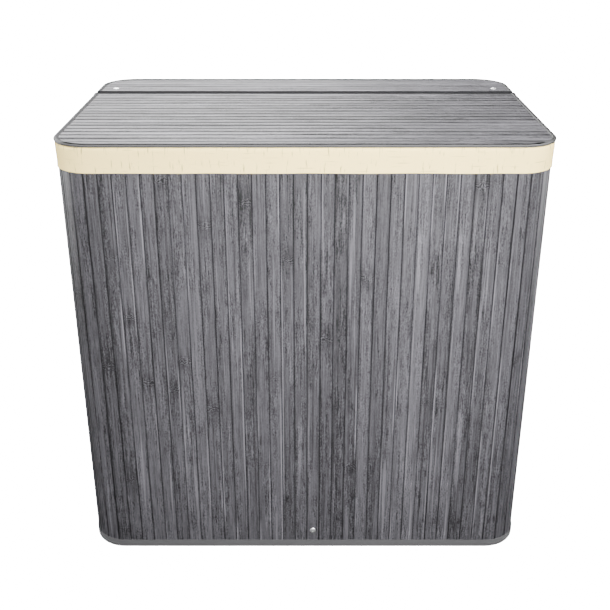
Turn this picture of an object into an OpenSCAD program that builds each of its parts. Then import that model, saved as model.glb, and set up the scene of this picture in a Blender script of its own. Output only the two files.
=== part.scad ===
// Laundry hamper: a slatted wall on cloth, a base board, a wire top hoop, a cotton liner with a
// turned-over cuff, and a slatted lid whose front flap folds up on a strip of backing cloth.
// Millimetres. The origin is on the floor under the middle, +Z is up and the front faces -Y.

/* [Overall] */
// Width of the lid, side to side
lid_w = 614; // [500:1:750]
// Depth of the lid, front to back
lid_d = 400; // [320:1:500]
// Height from the floor to the top of the lid
total_h = 591; // [450:1:720]
// Radius of the lid's corners in plan
lid_r = 47; // [38:1:65]
// How far the lid's edge stands out from the slats of the wall
lid_overhang = 2.7; // [2.5:0.1:6]

/* [Slats] */
// Wanted distance from one slat of the wall to the next, rounded to a whole number of slats
slat_pitch_wanted = 16.9; // [12:0.1:24]
// Wanted distance from one slat of the lid to the next, rounded to a whole number of slats
lid_pitch_wanted = 16; // [12:0.1:24]
// Thickness of a slat
slat_t = 1.4; // [1:0.1:2]
// Open joint between neighbouring slats
slat_gap = 0.6; // [0.4:0.1:1.2]
// Width of the eased edge of a slat's outer face
slat_ease_w = 2; // [0.5:0.1:3]
// Depth of the eased edge of a slat's outer face
slat_ease_t = 0.5; // [0.2:0.1:0.8]
// Where the joint right of the middle of the front wall lies
first_joint_x = 3; // [-8:0.5:8]
// Thickness of the cloth that the wall's slats are glued to
wall_cloth_t = 0.8; // [0.5:0.1:1.5]

/* [Bottom] */
// Height of the tape round the wall's bottom edge
bottom_tape_h = 12; // [8:0.5:20]
// Thickness of that tape
bottom_tape_t = 0.8; // [0.5:0.1:1.2]
// Thickness of the cloth under the base board
base_cloth_t = 0.6; // [0.4:0.1:1]
// Thickness of the base board
base_board_t = 3; // [2:0.5:5]
// Room between the base board and the tape
base_board_gap = 0.9; // [0.5:0.1:3]
// Width of the webbing tab that holds the base board's front edge
base_tab_w = 25; // [20:1:40]
// Thickness of that webbing
base_tab_t = 1.2; // [0.8:0.1:1.6]
// How far the tab reaches over the base board
base_tab_reach = 60; // [30:1:90]
// How far the tab goes up the wall above the front rivet
base_tab_up = 16; // [8:1:30]
// Thickness of the cloth strip that hinges the base board at the back
base_strip_t = 0.6; // [0.4:0.1:1]
// How far that strip reaches over the board and up the wall
base_strip_reach = 40; // [20:1:60]

/* [Hoop] */
// Diameter of the hoop's wire
wire_d = 4; // [3:0.5:5]
// Thickness of the cloth sleeve round the wire
sleeve_t = 0.6; // [0.4:0.1:1]
// Length of the ferrules that join the two halves of the hoop
ferrule_l = 40; // [24:1:60]

/* [Liner] */
// Thickness of the liner cloth
liner_t = 0.9; // [0.6:0.1:1.2]
// How far the cuff hangs down outside the wall, measured from the rim
cuff_h = 31.4; // [20:0.1:60]

/* [Lid] */
// Thickness of the lid's backing cloth, which is also the hinge
lid_cloth_t = 0.4; // [0.4:0.1:0.8]
// Thickness of the boards in the lid
lid_board_t = 0.8; // [0.6:0.1:3]
// Thickness of the lining under the boards
lid_lining_t = 0.3; // [0.3:0.1:0.8]
// Thickness of the tape round the lid's edge
lid_tape_t = 0.4; // [0.4:0.1:0.8]
// Width of the tape on the lid's faces
lid_tape_w = 6; // [3:0.1:8]
// Distance from the lid's back edge to the hinge line
rear_strip_d = 101; // [60:0.5:140]
// Width of the open fold between the rear strip and the flap
fold_gap = 17.5; // [11:0.5:20]

/* [Rivets] */
// Diameter of a rivet's head
rivet_head_d = 8.4; // [7:0.1:11]
// Height of a rivet's head
rivet_head_h = 1.2; // [0.8:0.1:1.6]
// Diameter of a rivet's shank
rivet_shank_d = 3.2; // [2.5:0.1:4]
// Height of the middle of the front rivet above the bottom tape
front_rivet_up = 16; // [8:0.5:20]
// Distance of a lid rivet from the liner, side to side
lid_rivet_inset = 13.5; // [7:0.5:25]
// Distance of a lid rivet behind the hinge line
lid_rivet_back = 26; // [20:0.5:40]

/* [Hidden] */
$fn = 96;
fit = 0.1;        // room round a shank, a wire or a cloth edge
slide_gap = 0.3;  // room between the moving flap and the rim it lies on
cloth_gap = 0.2;  // room between layers that only lie against each other
cut = 1;          // how far a cutting shape passes the face it cuts

// Lid levels, from the top down
lid_slat_top = total_h - lid_tape_t;
lid_cloth_top = lid_slat_top - slat_t;
lid_board_top = lid_cloth_top - lid_cloth_t;
lid_lining_top = lid_board_top - lid_board_t;
lid_lining_bottom = lid_lining_top - lid_lining_t;
lid_bottom = lid_lining_bottom - lid_tape_t;
hinge_y = lid_d / 2 - rear_strip_d;
hinge_z = lid_board_top + lid_cloth_t / 2;
flap_back_y = hinge_y - fold_gap / 2;
strip_front_y = hinge_y + fold_gap / 2;
hinge_bead_r = lid_cloth_t / 2;
hinge_open_gap = 1.2; // the flap's cloth ends this far before the hinge line

// Wall, from the outer face of the slats inwards
body_w = lid_w - 2 * lid_overhang;
body_d = lid_d - 2 * lid_overhang;
body_r = lid_r - 1;
cloth_face = slat_t;
wall_t = slat_t + wall_cloth_t;
rim_top = lid_bottom - slide_gap;
wall_top = rim_top - liner_t - cloth_gap;
wall_bottom = bottom_tape_t + cloth_gap;

// Slats round the wall, laid out along the face of the wall cloth
path_w = body_w - 2 * slat_t;
path_d = body_d - 2 * slat_t;
path_r = body_r - slat_t;
half_front = path_w / 2 - path_r;
side_run = path_d - 2 * path_r;
back_run = 2 * half_front;
corner_run = PI * path_r / 2;
runs = [half_front, corner_run, side_run, corner_run, back_run, corner_run, side_run, corner_run,
        half_front];
perimeter = 2 * back_run + 2 * side_run + 4 * corner_run;
slat_count = round(perimeter / slat_pitch_wanted);
slat_pitch = perimeter / slat_count;
slat_w = slat_pitch - slat_gap;
front_rivet_x = first_joint_x + slat_pitch / 2;
front_rivet_z = bottom_tape_h + front_rivet_up;
base_tab_top = front_rivet_z + base_tab_up;
// How far the edges of the flat slats stand out past the wall's round corners
slat_room = max(norm([body_r, slat_w / 2 - slat_ease_w]),
                norm([body_r - slat_ease_t, slat_w / 2])) - body_r + fit;

// Tape round the bottom edge, and what lies inside it
tape_out = slat_room + bottom_tape_t;
tape_in = wall_t + fit + bottom_tape_t;
base_board_z = base_cloth_t + fit;
base_board_top = base_board_z + base_board_t;
liner_floor_z = base_board_top + base_tab_t + 3 * fit;

// Hoop
sleeve_r = wire_d / 2 + fit + sleeve_t;
hoop_in = wall_t + cloth_gap + sleeve_r;
hoop_z = wall_top - fit - cloth_gap - sleeve_r;
ferrule_gap = 12; // bare wire on each side of a ferrule, where the sleeve is cut away
wire_end_gap = 1;

// Liner
bag_in = hoop_in + sleeve_r + slide_gap;
cuff_out = slat_room + liner_t;

// Webbing loops that tie the lid's rear strip to the hoop
loop_w = 20;
loop_t = lid_tape_t + slide_gap - 2 * fit; // lies in the gap between the lid and the liner
loop_y = hinge_y + lid_rivet_back;
loop_slot = 1;
lid_rivet_x = body_w / 2 - bag_in - liner_t - lid_rivet_inset;
loop_tail_reach = 10; // past the rivet's middle
loop_tail_top = lid_lining_bottom - fit;
washer_r = rivet_head_d / 2 - 0.2;
washer_t = 0.8;
rivet_foot_r = rivet_shank_d / 2 + 0.8;
rivet_foot_h = 0.5;
rivet_dimple_r = rivet_shank_d / 2 - 0.2;
rivet_dimple_h = 0.4;
hole_r = rivet_shank_d / 2 + fit;

// Tape inside the back wall, where the two ends of the wall sheet meet
seam_tape_w = 25;
seam_tape_t = 0.7;
seam_tape_end = 10; // clear of the hoop sleeve

// Slats across the lid
lid_edge = lid_tape_t + fit / 2;
flap_slats_front = -lid_d / 2 + lid_edge;
strip_slats_back = lid_d / 2 - lid_edge;
flap_slat_count = round((flap_back_y - flap_slats_front) / lid_pitch_wanted);
strip_slat_count = round((strip_slats_back - strip_front_y) / lid_pitch_wanted);

// Colours
slat_grey = "#77767a";
tape_grey = "#5e5e60";
cloth_grey = "#4a4a4d";
liner_cream = "#efe8d6";
board_brown = "#8a6a48";
metal = "#d8d8da";

// ---- Shapes in plan ----

// A rectangle with round corners, centred
module round_rect(w, d, r) {
    square([w - 2 * r, d], center = true);
    square([w, d - 2 * r], center = true);
    for (sx = [-1, 1])
        for (sy = [-1, 1])
            translate([sx * (w / 2 - r), sy * (d / 2 - r)])
                circle(r = r);
}

// The wall's outline, moved in by inset, or out where inset is negative
module wall_outline(inset) {
    round_rect(body_w - 2 * inset, body_d - 2 * inset, body_r - inset);
}

// The lid's outline moved in by inset, between two places front to back
module lid_outline(inset, front, back) {
    intersection() {
        round_rect(lid_w - 2 * inset, lid_d - 2 * inset, lid_r - inset);
        translate([-lid_w, front])
            square([2 * lid_w, back - front]);
    }
}

module wall_ring(outer, inner, bottom, top) {
    translate([0, 0, bottom])
        linear_extrude(top - bottom)
            difference() {
                wall_outline(outer);
                wall_outline(inner);
            }
}

module lid_layer(front, back, bottom, top) {
    translate([0, 0, bottom])
        linear_extrude(top - bottom)
            lid_outline(lid_edge, front, back);
}

// ---- Slats ----

// The section of a slat: its glued face on the Y axis, its outer face towards +X
function slat_section(w) = [
    [0, -w / 2], [slat_t - slat_ease_t, -w / 2], [slat_t, -w / 2 + slat_ease_w],
    [slat_t, w / 2 - slat_ease_w], [slat_t - slat_ease_t, w / 2], [0, w / 2]];

function sum_to(list, n) = n <= 0 ? 0 : list[n - 1] + sum_to(list, n - 1);

// Which run of the wall the distance s along it lies on, from the middle of the front
function run_at(s, n = 0) = n == len(runs) - 1 || s < sum_to(runs, n + 1) ? n : run_at(s, n + 1);

// Place on the wall cloth at distance s: [x, y, the way it faces]
function place_on_run(s, run, t) =
    run == 0 ? [t, -path_d / 2, -90]
    : run == 1 ? on_corner(half_front, -path_d / 2 + path_r, -90, t)
    : run == 2 ? [path_w / 2, -path_d / 2 + path_r + t, 0]
    : run == 3 ? on_corner(half_front, path_d / 2 - path_r, 0, t)
    : run == 4 ? [half_front - t, path_d / 2, 90]
    : run == 5 ? on_corner(-half_front, path_d / 2 - path_r, 90, t)
    : run == 6 ? [-path_w / 2, path_d / 2 - path_r - t, 180]
    : run == 7 ? on_corner(-half_front, -path_d / 2 + path_r, 180, t)
    : [-half_front + t, -path_d / 2, -90];
function on_corner(x, y, from, t) =
    let (a = from + 90 * t / corner_run)
    [x + path_r * cos(a), y + path_r * sin(a), a];
function place_at(s) = let (run = run_at(s)) place_on_run(s, run, s - sum_to(runs, run));

function slat_middle(i) = (first_joint_x + slat_pitch * (i + 0.5) + perimeter) % perimeter;

// The slats whose middle lies on one of the given runs
module wall_slats(on_runs) {
    color(slat_grey)
        for (i = [0 : slat_count - 1])
            if (len(search(run_at(slat_middle(i)), on_runs)) > 0) {
                p = place_at(slat_middle(i));
                translate([p.x, p.y, wall_bottom])
                    rotate(p.z)
                        linear_extrude(wall_top - wall_bottom)
                            polygon(slat_section(slat_w));
            }
}

module front_slats() {
    difference() {
        wall_slats([0, 8]);
        front_rivet_hole();
    }
}

// Slats that run side to side, trimmed to the lid's outline
module lid_slats(front, back, count) {
    pitch = (back - front) / count;
    color(slat_grey)
        intersection() {
            for (i = [0 : count - 1])
                translate([-lid_w / 2, front + pitch * (i + 0.5), lid_cloth_top])
                    rotate([90, 0, 90])
                        linear_extrude(lid_w)
                            rotate(90)
                                polygon(slat_section(pitch - slat_gap));
            translate([0, 0, lid_bottom])
                linear_extrude(total_h)
                    lid_outline(lid_edge, front, back);
        }
}

// ---- Wall and bottom ----

module wall_cloth() {
    color(cloth_grey)
        difference() {
            wall_ring(cloth_face, wall_t, wall_bottom, wall_top);
            front_rivet_hole();
        }
}

// Covers the joint where the two ends of the wall sheet meet, inside the back
module back_seam_tape() {
    bottom = bottom_tape_h + cut;
    color(cloth_grey)
        translate([-seam_tape_w / 2, body_d / 2 - wall_t - seam_tape_t, bottom])
            cube([seam_tape_w, seam_tape_t, hoop_z - sleeve_r - seam_tape_end - bottom]);
}

module bottom_tape() {
    color(tape_grey)
        difference() {
            wall_ring(-tape_out, tape_in, 0, bottom_tape_h);
            wall_ring(-slat_room, wall_t + fit, bottom_tape_t, bottom_tape_h + cut);
        }
}

module base_cloth() {
    color(cloth_grey)
        linear_extrude(base_cloth_t)
            wall_outline(tape_in + fit);
}

module base_board() {
    color(board_brown)
        translate([0, 0, base_board_z])
            linear_extrude(base_board_t)
                wall_outline(tape_in + base_board_gap);
}

// Webbing over the board's front edge and up the wall to the front rivet. In the section, the
// first number is the distance from the wall's inner face and the second is the height.
module base_tab() {
    low = base_board_top + fit;
    step = bottom_tape_h + fit;
    tape = tape_in - wall_t + fit;
    section = [
        [0, step], [0, base_tab_top], [base_tab_t, base_tab_top],
        [base_tab_t, step + base_tab_t], [tape + base_tab_t, step + base_tab_t],
        [tape + base_tab_t, low + base_tab_t], [base_tab_reach, low + base_tab_t],
        [base_tab_reach, low], [tape, low], [tape, step]];
    color(cloth_grey)
        difference() {
            translate([front_rivet_x - base_tab_w / 2, -body_d / 2 + wall_t, 0])
                rotate([90, 0, 90])
                    linear_extrude(base_tab_w)
                        polygon(section);
            front_rivet_hole();
        }
}

// Cloth strip that hinges the board to the back wall, so that the base folds up for storage
module base_hinge_strip() {
    length = body_w - 2 * body_r;
    low = base_board_top + fit;
    color(cloth_grey)
        translate([-length / 2, body_d / 2 - tape_in - fit, low])
            mirror([0, 1, 0])
                union() {
                    cube([length, base_strip_t, base_strip_reach]);
                    cube([length, base_strip_reach, base_strip_t]);
                }
}

// ---- Hoop ----

// A section turned round the hoop's corners and drawn along its straight runs
module hoop_solid(r) {
    w = body_w - 2 * hoop_in;
    d = body_d - 2 * hoop_in;
    corner = body_r - hoop_in;
    translate([0, 0, hoop_z]) {
        for (side = [0, 180])
            rotate(side) {
                translate([w / 2, -(d / 2 - corner), 0])
                    rotate([-90, 0, 0])
                        cylinder(r = r, h = d - 2 * corner);
                translate([-(w / 2 - corner), -d / 2, 0])
                    rotate([0, 90, 0])
                        cylinder(r = r, h = w - 2 * corner);
                translate([w / 2 - corner, -(d / 2 - corner), 0])
                    rotate(-90)
                        rotate_extrude(angle = 90)
                            translate([corner, 0])
                                circle(r = r);
                translate([w / 2 - corner, d / 2 - corner, 0])
                    rotate_extrude(angle = 90)
                        translate([corner, 0])
                            circle(r = r);
            }
    }
}

module hoop_wire(side) {
    color(metal)
        intersection() {
            hoop_solid(wire_d / 2);
            translate([side > 0 ? wire_end_gap / 2 : -lid_w, -lid_d / 2, 0])
                cube([lid_w - wire_end_gap / 2, lid_d, total_h]);
        }
}

module hoop_ferrule(side) {
    color(metal)
        translate([-ferrule_l / 2, side * (body_d / 2 - hoop_in), hoop_z])
            rotate([0, 90, 0])
                difference() {
                    cylinder(r = sleeve_r, h = ferrule_l);
                    translate([0, 0, -cut])
                        cylinder(r = wire_d / 2 + fit / 2, h = ferrule_l + 2 * cut);
                }
}

// Cloth round the wire, cut away at the ferrules and at the lid's loops
module hoop_sleeve() {
    bare = ferrule_l + 2 * ferrule_gap;
    loop_bare = loop_w + 4;
    color(cloth_grey)
        difference() {
            hoop_solid(sleeve_r);
            hoop_solid(wire_d / 2 + fit);
            translate([-bare / 2, -lid_d / 2, hoop_z - 2 * sleeve_r])
                cube([bare, lid_d, 4 * sleeve_r]);
            translate([-lid_w / 2, loop_y - loop_bare / 2, hoop_z - 2 * sleeve_r])
                cube([lid_w, loop_bare, 4 * sleeve_r]);
        }
}

// ---- Liner ----

module liner_bag() {
    color(liner_cream)
        wall_ring(bag_in, bag_in + liner_t, liner_floor_z + liner_t, rim_top - liner_t);
}

module liner_floor() {
    color(liner_cream)
        translate([0, 0, liner_floor_z])
            linear_extrude(liner_t)
                wall_outline(bag_in);
}

// The part of the liner that is turned over the rim, with a buttonhole for each loop of the lid
module liner_cuff() {
    slot_x = body_w / 2 - hoop_in - wire_d / 2 - fit - loop_t - fit;
    color(liner_cream)
        difference() {
            union() {
                wall_ring(-cuff_out, bag_in + liner_t, rim_top - liner_t, rim_top);
                wall_ring(-cuff_out, -slat_room, rim_top - cuff_h, rim_top);
            }
            for (side = [-1, 1])
                translate([side * (slot_x + loop_slot / 2), loop_y, rim_top])
                    cube([loop_slot, loop_w + loop_slot, 4 * liner_t], center = true);
        }
}

// ---- Lid ----

// The tape folded over the edge of one part of the lid, open along the fold
module lid_tape(front, back, open_front, open_back) {
    color(tape_grey)
        difference() {
            translate([0, 0, lid_bottom])
                linear_extrude(total_h - lid_bottom)
                    lid_outline(0, front, back);
            translate([0, 0, lid_lining_bottom])
                linear_extrude(lid_slat_top - lid_lining_bottom)
                    lid_outline(lid_tape_t, front - open_front, back + open_back);
            translate([0, 0, lid_bottom - cut])
                linear_extrude(total_h)
                    lid_outline(lid_tape_w, front - open_front, back + open_back);
        }
}

module lid_strip_slats() {
    difference() {
        lid_slats(strip_front_y, strip_slats_back, strip_slat_count);
        lid_rivet_holes();
    }
}

// The strip's cloth reaches to the hinge line and ends in the round of the fold
module lid_strip_cloth() {
    color(cloth_grey)
        difference() {
            union() {
                lid_layer(hinge_y, lid_d / 2, lid_board_top, lid_cloth_top);
                translate([-lid_w / 2 + lid_edge, hinge_y, hinge_z])
                    rotate([0, 90, 0])
                        cylinder(r = hinge_bead_r, h = lid_w - 2 * lid_edge);
            }
            lid_rivet_holes();
        }
}

module lid_strip_board() {
    color(board_brown)
        difference() {
            lid_layer(strip_front_y, lid_d / 2, lid_lining_top, lid_board_top);
            lid_rivet_holes();
        }
}

module lid_strip_lining() {
    color(cloth_grey)
        difference() {
            lid_layer(strip_front_y, lid_d / 2, lid_lining_bottom, lid_lining_top);
            lid_rivet_holes();
        }
}

module lid_strip_tape() {
    lid_tape(strip_front_y, lid_d / 2, cut, 0);
}

module lid_flap_slats() {
    lid_slats(flap_slats_front, flap_back_y, flap_slat_count);
}

module lid_flap_cloth() {
    color(cloth_grey)
        lid_layer(-lid_d / 2, hinge_y - hinge_open_gap, lid_board_top, lid_cloth_top);
}

module lid_flap_board() {
    color(board_brown)
        lid_layer(-lid_d / 2, flap_back_y, lid_lining_top, lid_board_top);
}

module lid_flap_lining() {
    color(cloth_grey)
        lid_layer(-lid_d / 2, flap_back_y, lid_lining_bottom, lid_lining_top);
}

module lid_flap_tape() {
    lid_tape(-lid_d / 2, flap_back_y, 0, cut);
}

// Webbing round the hoop wire, up through the liner and in under the lid's rear strip
module lid_loop(side) {
    wire_x = body_w / 2 - hoop_in;
    inner_r = wire_d / 2 + fit;
    outer_r = inner_r + loop_t;
    tail_end = lid_rivet_x - loop_tail_reach;
    color(cloth_grey)
        difference() {
            translate([0, loop_y + loop_w / 2, 0])
                mirror([side > 0 ? 0 : 1, 0, 0])
                    rotate([90, 0, 0])
                        linear_extrude(loop_w) {
                            difference() {
                                translate([wire_x, hoop_z])
                                    circle(r = outer_r);
                                translate([wire_x, hoop_z])
                                    circle(r = inner_r);
                            }
                            translate([wire_x - outer_r, hoop_z])
                                square([loop_t, loop_tail_top - hoop_z]);
                            translate([tail_end, loop_tail_top - loop_t])
                                square([wire_x - inner_r - tail_end, loop_t]);
                        }
            lid_rivet_holes();
        }
}

// ---- Rivets ----

// A rivet with its head on z = 0 and its shank below: grip is the thickness that it holds
module rivet(grip) {
    edge = rivet_head_h / 3;
    color(metal)
        rotate_extrude()
            polygon([
                [0, -grip - rivet_foot_h], [rivet_foot_r, -grip - rivet_foot_h],
                [rivet_foot_r, -grip], [rivet_shank_d / 2, -grip], [rivet_shank_d / 2, 0],
                [rivet_head_d / 2, 0], [rivet_head_d / 2, edge],
                [rivet_head_d / 2 - edge, 2 * edge],
                [rivet_dimple_r + edge, rivet_head_h], [rivet_dimple_r, rivet_head_h],
                [rivet_dimple_r, rivet_head_h - rivet_dimple_h],
                [0, rivet_head_h - rivet_dimple_h]]);
}

module rivet_washer() {
    color(metal)
        difference() {
            cylinder(r = washer_r, h = washer_t);
            translate([0, 0, -cut])
                cylinder(r = hole_r, h = washer_t + 2 * cut);
        }
}

// Puts a rivet's parts at the front wall, its head outwards
module at_front_rivet(inset) {
    translate([front_rivet_x, -body_d / 2 + inset, front_rivet_z])
        rotate([90, 0, 0])
            children();
}

module front_rivet_hole() {
    at_front_rivet(5 * wall_t)
        cylinder(r = hole_r, h = 10 * wall_t);
}

module front_rivet() {
    at_front_rivet(0)
        rivet(wall_t + base_tab_t + washer_t + fit);
}

module front_rivet_washer() {
    at_front_rivet(wall_t + base_tab_t + washer_t + fit / 2)
        rivet_washer();
}

module lid_rivet_holes() {
    for (side = [-1, 1])
        translate([side * lid_rivet_x, loop_y, lid_bottom - cut])
            cylinder(r = hole_r, h = total_h);
}

lid_rivet_grip = lid_slat_top - loop_tail_top + loop_t + washer_t + fit;

module lid_rivet(side) {
    translate([side * lid_rivet_x, loop_y, lid_slat_top])
        rivet(lid_rivet_grip);
}

module lid_rivet_washer(side) {
    translate([side * lid_rivet_x, loop_y, loop_tail_top - loop_t - washer_t - fit / 2])
        rivet_washer();
}

// ---- Nodes ----

front_slats();
wall_slats([1]);  // front_right_corner_slats
wall_slats([2]);  // right_slats
wall_slats([3]);  // back_right_corner_slats
wall_slats([4]);  // back_slats
wall_slats([5]);  // back_left_corner_slats
wall_slats([6]);  // left_slats
wall_slats([7]);  // front_left_corner_slats
wall_cloth();
back_seam_tape();
bottom_tape();
base_cloth();
base_board();
base_tab();
base_hinge_strip();
front_rivet();
front_rivet_washer();
hoop_wire(-1);  // hoop_wire_left
hoop_wire(1);  // hoop_wire_right
hoop_ferrule(-1);  // hoop_ferrule_front
hoop_ferrule(1);  // hoop_ferrule_back
hoop_sleeve();
liner_bag();
liner_floor();
liner_cuff();
lid_strip_slats();
lid_strip_cloth();
lid_strip_board();
lid_strip_lining();
lid_strip_tape();
lid_loop(-1);  // lid_loop_left
lid_loop(1);  // lid_loop_right
lid_rivet(-1);  // lid_rivet_left
lid_rivet(1);  // lid_rivet_right
lid_rivet_washer(-1);  // lid_rivet_washer_left
lid_rivet_washer(1);  // lid_rivet_washer_right
lid_flap_slats();
lid_flap_cloth();
lid_flap_board();
lid_flap_lining();
lid_flap_tape();
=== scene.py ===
import math
import random

import bmesh
import bpy
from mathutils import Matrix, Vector, noise


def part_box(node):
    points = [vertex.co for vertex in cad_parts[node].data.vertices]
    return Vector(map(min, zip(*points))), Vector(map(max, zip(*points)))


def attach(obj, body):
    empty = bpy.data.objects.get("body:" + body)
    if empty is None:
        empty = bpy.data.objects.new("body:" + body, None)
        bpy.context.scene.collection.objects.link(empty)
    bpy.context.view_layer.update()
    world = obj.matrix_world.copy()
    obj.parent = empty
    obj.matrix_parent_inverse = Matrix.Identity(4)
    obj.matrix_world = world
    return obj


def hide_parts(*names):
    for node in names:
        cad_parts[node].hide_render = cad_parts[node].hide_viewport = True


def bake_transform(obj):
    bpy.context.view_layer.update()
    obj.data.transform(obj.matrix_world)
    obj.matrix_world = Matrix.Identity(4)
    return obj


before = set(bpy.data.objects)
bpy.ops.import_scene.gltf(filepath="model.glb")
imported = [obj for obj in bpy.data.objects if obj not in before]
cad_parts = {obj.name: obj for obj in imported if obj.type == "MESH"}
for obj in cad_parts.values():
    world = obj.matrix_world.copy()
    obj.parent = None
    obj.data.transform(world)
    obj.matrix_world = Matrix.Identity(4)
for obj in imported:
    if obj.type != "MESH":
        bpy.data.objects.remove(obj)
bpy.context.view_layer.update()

MM = 0.001
TAU = 2 * math.pi

# The object's sizes, in metres
LID_W, LID_D, LID_R = 0.614, 0.400, 0.047
TOP = 0.591                      # top of the lid's tape
OVERHANG = 2.7 * MM              # lid past the slats of the wall
WALL_W, WALL_D, WALL_R = LID_W - 2 * OVERHANG, LID_D - 2 * OVERHANG, LID_R - 1 * MM
WALL_LOW, WALL_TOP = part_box("front_slats")[0].z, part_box("front_slats")[1].z
WALL_PITCH, LID_PITCH = 16.9 * MM, 16 * MM     # wanted distance from slat to slat
FIRST_JOINT = 3 * MM             # the joint of the wall nearest its middle

# Thicknesses
SLAT_T = 1.4 * MM
CLOTH_T = 0.8 * MM               # the wall's backing cloth
TAPE_T = 0.4 * MM                # the lid's tape
LID_CLOTH_T = 0.4 * MM
BOARD_T = 0.8 * MM
LINING_T = 0.3 * MM
LINER_T = 0.8 * MM

# Levels of the lid's layers, from the top
SLAT_TOP = TOP - TAPE_T
BACKING_TOP = SLAT_TOP - SLAT_T
BOARD_TOP = BACKING_TOP - LID_CLOTH_T
LINING_TOP = BOARD_TOP - BOARD_T
LINING_LOW = LINING_TOP - LINING_T
LID_LOW = LINING_LOW - TAPE_T
RIM = LID_LOW - 0.3 * MM         # top of the liner where it turns over the wall

# The fold, the rivets behind it and the layers' distance from the lid's outline
FOLD_Y, FOLD_GAP = 99 * MM, 17.5 * MM
FLAP_BACK = FOLD_Y - FOLD_GAP / 2
STRIP_FRONT = FOLD_Y + FOLD_GAP / 2
RIVET_Y = FOLD_Y + 26 * MM
LID_EDGE = 0.45 * MM

# The hoop and the bag, measured inwards from the slats' outer face
WIRE_IN = 5.1 * MM
WIRE_Z = WALL_TOP - 3.0 * MM
TIE_R = 2.38 * MM                # middle of a tie's webbing, from the middle of the wire
BAG_IN = 8.55 * MM
BAG_LOW = 5.65 * MM

ROOT, FLAP = "basket", "lid_flap"


# ---- Helpers ----

def finish_mesh(bm, name, body=None, material=None, smooth=True, weld=1e-6):
    """Turns a bmesh into a piece whose object is at the origin."""
    if weld:
        bmesh.ops.remove_doubles(bm, verts=bm.verts, dist=weld)
    bmesh.ops.recalc_face_normals(bm, faces=bm.faces)
    mesh = bpy.data.meshes.new(name)
    for f in bm.faces:
        f.smooth = smooth
    bm.to_mesh(mesh)
    bm.free()
    piece = bpy.data.objects.new(name, mesh)
    bpy.context.scene.collection.objects.link(piece)
    if material:
        mesh.materials.append(material)
    if body:
        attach(piece, body)
    return piece


def add_grid(bm, nu, nv, place, uv_size=(1, 1)):
    """Adds a grid of nu by nv cells to bm, each corner put at place(u, v), with u and v in 0..1.
    The UVs are u and v times uv_size, in metres."""
    uv = bm.loops.layers.uv.verify()
    made = bmesh.ops.create_grid(bm, x_segments=nu, y_segments=nv, size=0.5)["verts"]
    where = {v: (v.co.x + 0.5, v.co.y + 0.5) for v in made}
    for face in {f for v in made for f in v.link_faces}:
        for loop in face.loops:
            a, b = where[loop.vert]
            loop[uv].uv = (a * uv_size[0], b * uv_size[1])
    for v, (a, b) in where.items():
        v.co = place(a, b)
    return made


class Ring:
    """A rectangle with round corners, walked from the middle of its front towards +X."""

    def __init__(self, w, d, r):
        self.w, self.d, self.r = w, d, r
        half, side, arc = w / 2 - r, d - 2 * r, r * math.pi / 2
        self.runs = [half, arc, side, arc, 2 * half, arc, side, arc, half]
        self.length = sum(self.runs)

    def at(self, s):
        """(x, y, outward x, outward y) at the distance s along the ring."""
        s %= self.length
        n = 0
        while n < 8 and s > self.runs[n]:
            s -= self.runs[n]
            n += 1
        hx, hy, r = self.w / 2 - self.r, self.d / 2 - self.r, self.r
        if n in (0, 8):
            return (s if n == 0 else s - hx, -self.d / 2, 0, -1)
        if n == 2:
            return (self.w / 2, s - hy, 1, 0)
        if n == 4:
            return (hx - s, self.d / 2, 0, 1)
        if n == 6:
            return (-self.w / 2, hy - s, -1, 0)
        cx, cy, start = {1: (hx, -hy, -90), 3: (hx, hy, 0), 5: (-hx, hy, 90),
                         7: (-hx, -hy, 180)}[n]
        a = math.radians(start) + s / r
        return (cx + r * math.cos(a), cy + r * math.sin(a), math.cos(a), math.sin(a))

    def out(self, s, off, z):
        """The point at the height z and the distance off outside the ring."""
        x, y, nx, ny = self.at(s)
        return Vector((x + nx * off, y + ny * off, z))


# ---- Materials ----

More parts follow.
